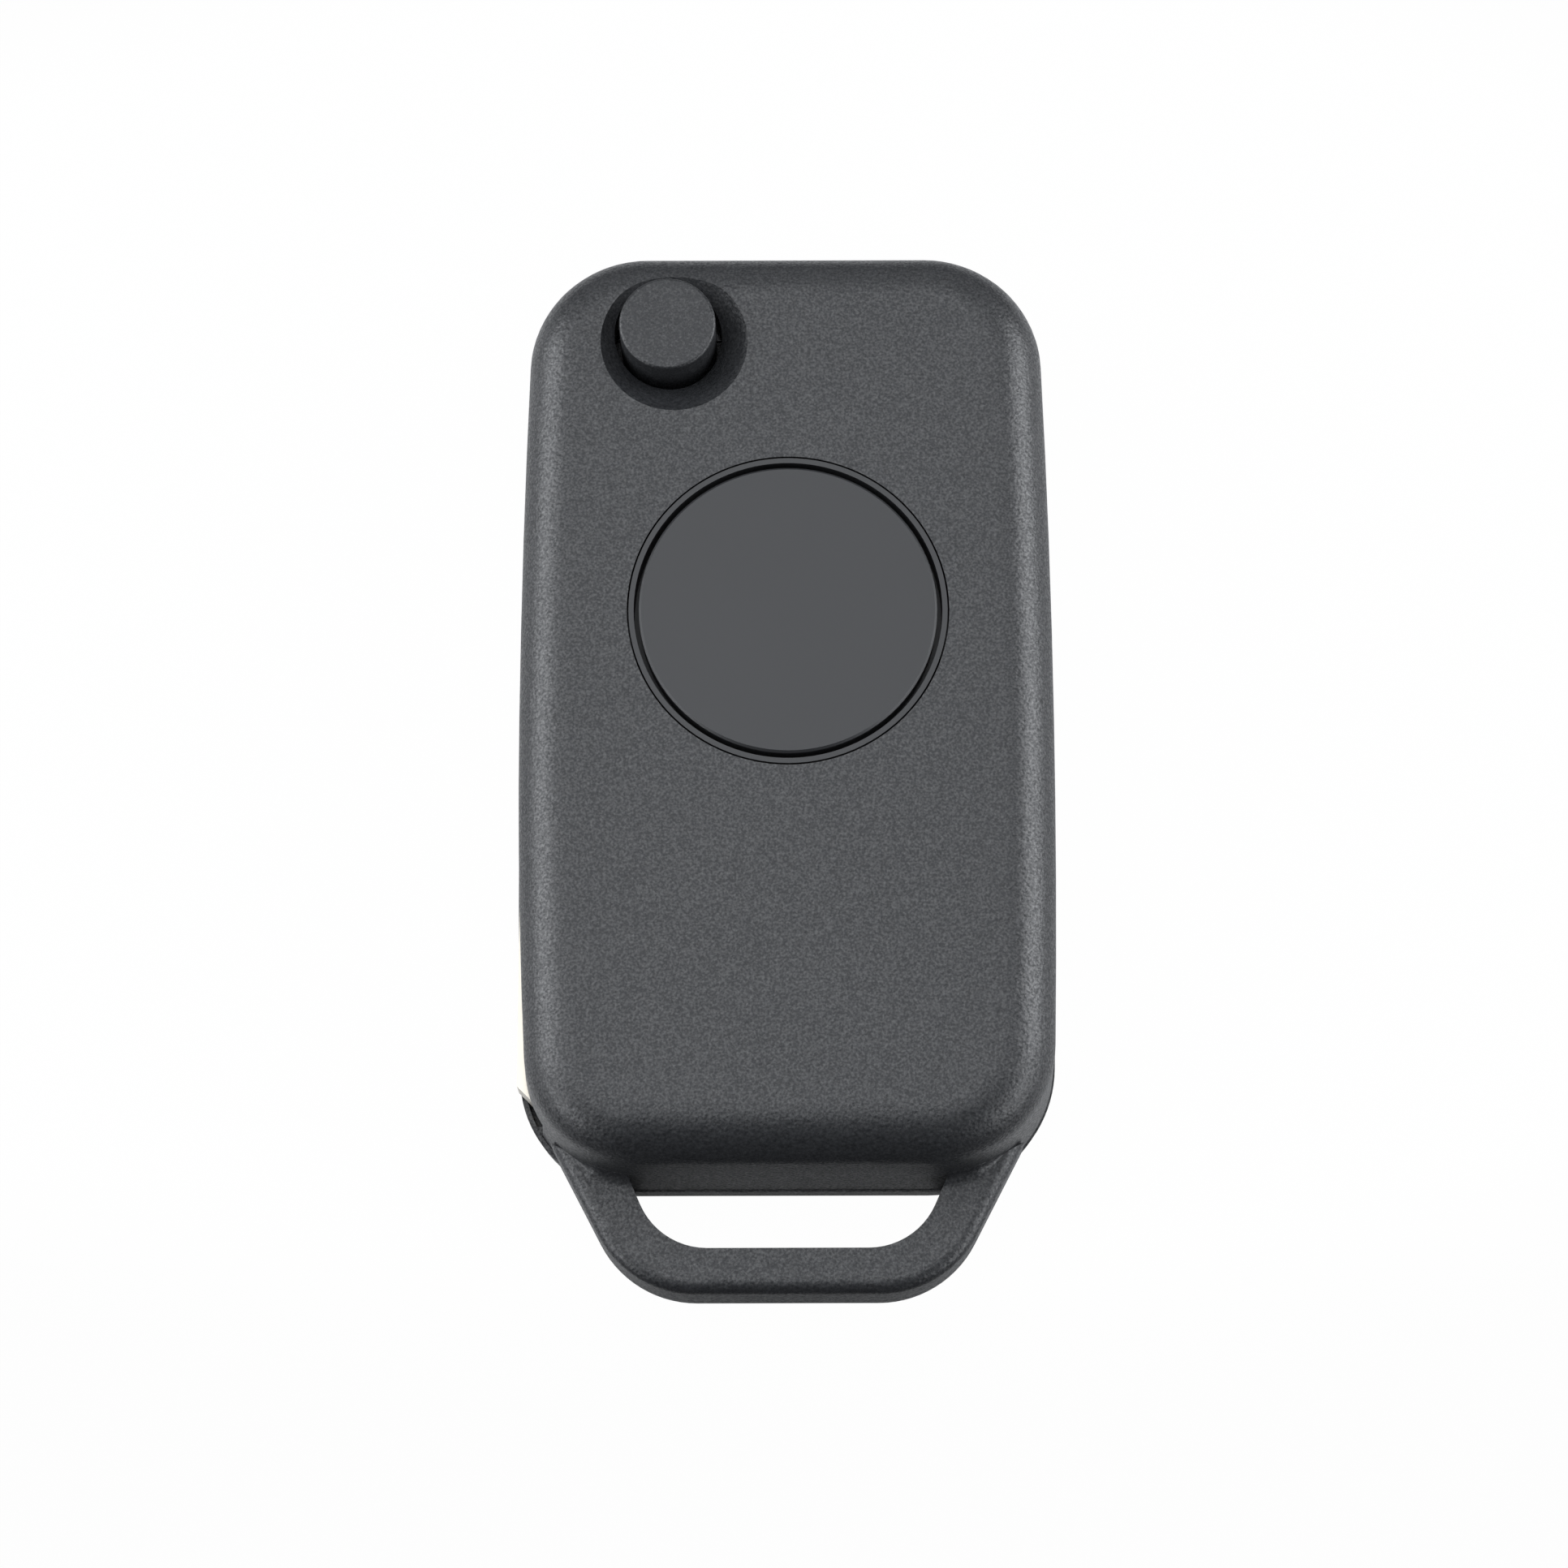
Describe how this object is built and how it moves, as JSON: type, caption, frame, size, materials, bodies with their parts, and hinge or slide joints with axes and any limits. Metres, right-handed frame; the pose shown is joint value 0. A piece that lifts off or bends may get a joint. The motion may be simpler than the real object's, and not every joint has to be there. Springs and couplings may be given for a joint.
{
  "type": "flip key remote shell",
  "caption": "Empty flip key remote shell with round button, key-ring loop, release button in a dish, uncut blade folded at its side and sliding battery cover.",
  "frame": {"origin": "centre of the outline at the height of the surface that the shell's back lies on", "axes": "+X across the shell to the right as seen from the front, +Y along it from the key-ring loop to the pivot end, +Z out of the front face"},
  "size_m": [0.0374, 0.072, 0.0165],
  "materials": {
    "shell_plastic": "fine spark-eroded grain",
    "button_plastic": "smooth satin",
    "release_plastic": "satin",
    "frame_plastic": "plain moulded",
    "pad_silicone": "soft silicone",
    "blade_nickel": "satin nickel plate",
    "head_metal": "black coated casting",
    "spring_steel": "bright drawn",
    "washer_steel": "stamped",
    "contact_nickel": "nickel plated strip",
    "screw_steel": "blackened"
  },
  "bodies": {
    "case": {"front_shell": "shell_plastic", "rear_shell": "shell_plastic", "inner_frame": "frame_plastic", "button_ring": "button_plastic", "button_pad": "pad_silicone", "flip_spring": "spring_steel", "spring_seat": "spring_steel", "head_washer": "washer_steel", "chip_tray": "frame_plastic", "positive_contact": "contact_nickel", "negative_contact": "contact_nickel", "case_screws": "screw_steel", "frame_screws": "screw_steel"},
    "blade_unit": {"blade_head": "head_metal", "key_blade": "blade_nickel", "blade_pin": "spring_steel"},
    "release": {"release_button": "release_plastic"},
    "transmit": {"round_button": "button_plastic"},
    "cover": {"battery_cover": "shell_plastic"}
  },
  "joints": [
    {"name": "blade_flip", "type": "hinge", "parent": "case", "child": "blade_unit", "pos_m": [-0.00812, 0.02935, 0.005], "axis": [0, 0, -1], "range_deg": [0, 180]},
    {"name": "release_press", "type": "slide", "parent": "blade_unit", "child": "release", "axis": [0, 0, -1], "range_m": [0, 0.002], "stiffness_N_per_m": 500, "springref_m": -0.002, "deforming": ["flip_spring"]},
    {"name": "transmit_press", "type": "slide", "parent": "case", "child": "transmit", "axis": [0, 0, -1], "range_m": [0, 0.0005], "stiffness_N_per_m": 1500, "springref_m": -0.0004, "deforming": ["button_pad"]},
    {"name": "cover_slide", "type": "slide", "parent": "case", "child": "cover", "axis": [0, -1, 0], "range_m": [0, 0.044]}
  ]
}
